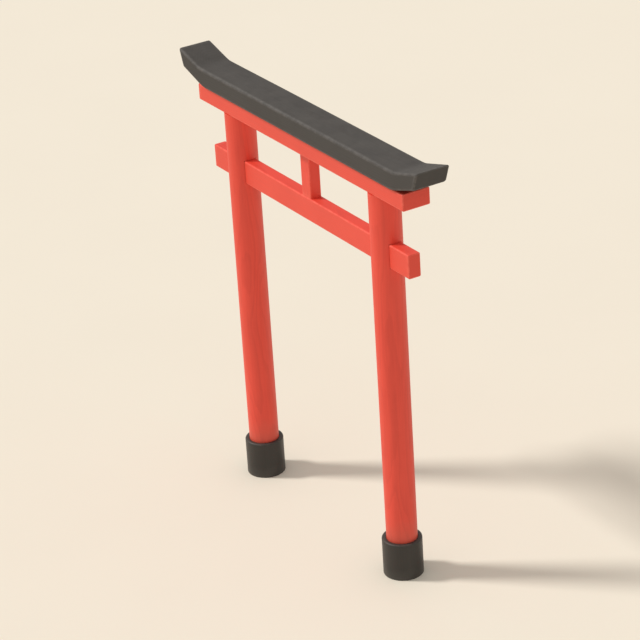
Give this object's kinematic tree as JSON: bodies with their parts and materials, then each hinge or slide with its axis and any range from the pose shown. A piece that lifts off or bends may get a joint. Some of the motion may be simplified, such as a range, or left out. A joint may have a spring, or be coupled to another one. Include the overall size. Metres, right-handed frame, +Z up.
{
  "type": "torii gate",
  "caption": "Painted timber torii gate: round posts in black foot sleeves, a through tie beam with a centre strut, a straight lower lintel and an upswept dark top lintel.",
  "frame": {"origin": "centre of the left post's foot face, on the ground", "axes": "+X runs along the lintels from the left post to the right post; +Y runs through the gate from its front to its back; +Z is up"},
  "size_m": [2.476, 0.232, 2.6303],
  "materials": {
    "vermilion_paint": "matte vermilion paint on planed timber",
    "black_paint": "satin black paint on timber",
    "charcoal_paint": "matte charcoal paint on timber"
  },
  "bodies": {
    "root": {"left_post": "vermilion_paint", "right_post": "vermilion_paint", "left_foot_sleeve": "black_paint", "right_foot_sleeve": "black_paint", "tie_beam": "vermilion_paint", "centre_strut": "vermilion_paint", "lower_lintel": "vermilion_paint", "top_lintel": "charcoal_paint"}
  },
  "joints": []
}
